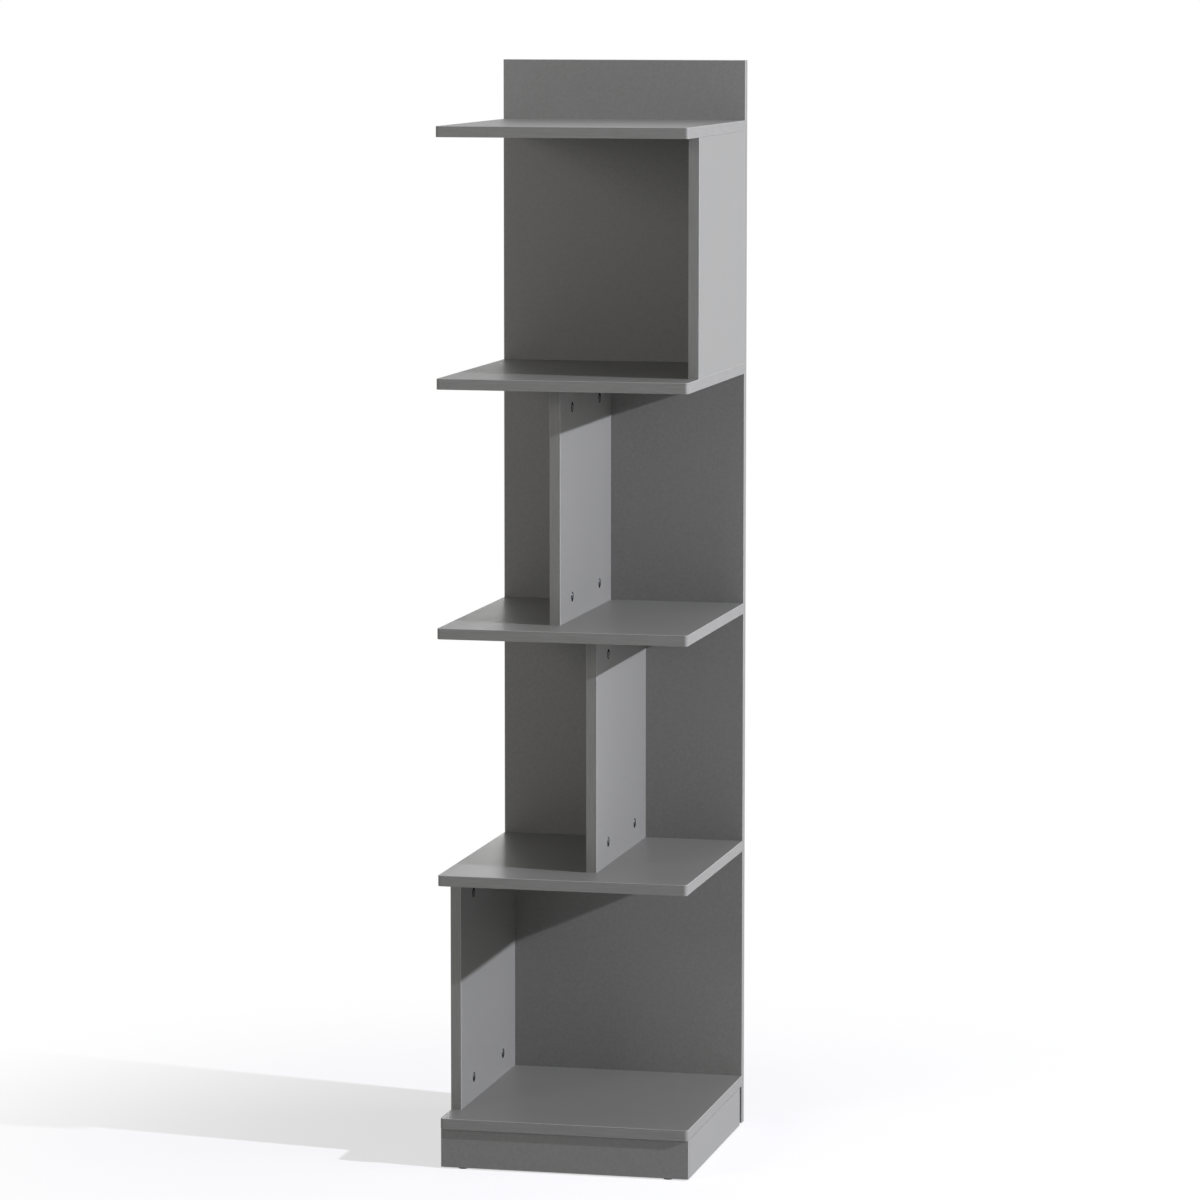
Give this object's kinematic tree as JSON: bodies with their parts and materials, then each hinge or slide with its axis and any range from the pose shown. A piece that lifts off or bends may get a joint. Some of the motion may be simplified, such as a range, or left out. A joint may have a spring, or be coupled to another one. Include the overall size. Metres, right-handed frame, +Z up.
{
  "type": "spine bookshelf",
  "caption": "Tall narrow open bookcase in graphite board: a back panel carries cantilevered shelves, stepped upright dividers and a plinth base.",
  "frame": {"origin": "on the floor under the middle of the overall box", "axes": "+X to the right seen from the front, +Y to the rear (towards the wall), +Z up"},
  "size_m": [0.375, 0.425, 1.63],
  "materials": {
    "graphite_melamine": "matt graphite melamine on chipboard, fine pearl texture",
    "abs_edging": "matt graphite ABS edging, scraped arrises",
    "zinc_cam": "die-cast zinc alloy, tumbled",
    "plated_steel": "bright zinc plate",
    "beech_dowel": "fluted raw beech",
    "block_plastic": "moulded black polypropylene",
    "glide_plastic": "moulded black polyethylene"
  },
  "bodies": {
    "root": {"back_panel": "graphite_melamine", "back_panel_bottom_edging": "abs_edging", "back_panel_left_edging": "abs_edging", "back_panel_right_edging": "abs_edging", "back_panel_top_edging": "abs_edging", "base_board": "graphite_melamine", "base_board_edging": "abs_edging", "bottom_divider": "graphite_melamine", "bottom_divider_edging": "abs_edging", "divider_cam_bolts": "plated_steel", "divider_cams": "zinc_cam", "divider_dowels": "beech_dowel", "fourth_shelf": "graphite_melamine", "fourth_shelf_edging": "abs_edging", "glide_nails": "plated_steel", "glides": "glide_plastic", "plinth_block_screws": "plated_steel", "plinth_blocks": "block_plastic", "plinth_dowels": "beech_dowel", "plinth_front": "graphite_melamine", "plinth_front_left_edging": "abs_edging", "plinth_front_right_edging": "abs_edging", "plinth_left": "graphite_melamine", "plinth_left_edging": "abs_edging", "plinth_right": "graphite_melamine", "plinth_right_edging": "abs_edging", "second_divider": "graphite_melamine", "second_divider_edging": "abs_edging", "second_shelf": "graphite_melamine", "second_shelf_edging": "abs_edging", "shelf_cam_bolts": "plated_steel", "shelf_cams": "zinc_cam", "shelf_dowels": "beech_dowel", "third_divider": "graphite_melamine", "third_divider_edging": "abs_edging", "third_shelf": "graphite_melamine", "third_shelf_edging": "abs_edging", "top_divider": "graphite_melamine", "top_divider_edging": "abs_edging", "top_shelf": "graphite_melamine", "top_shelf_edging": "abs_edging"}
  },
  "joints": []
}
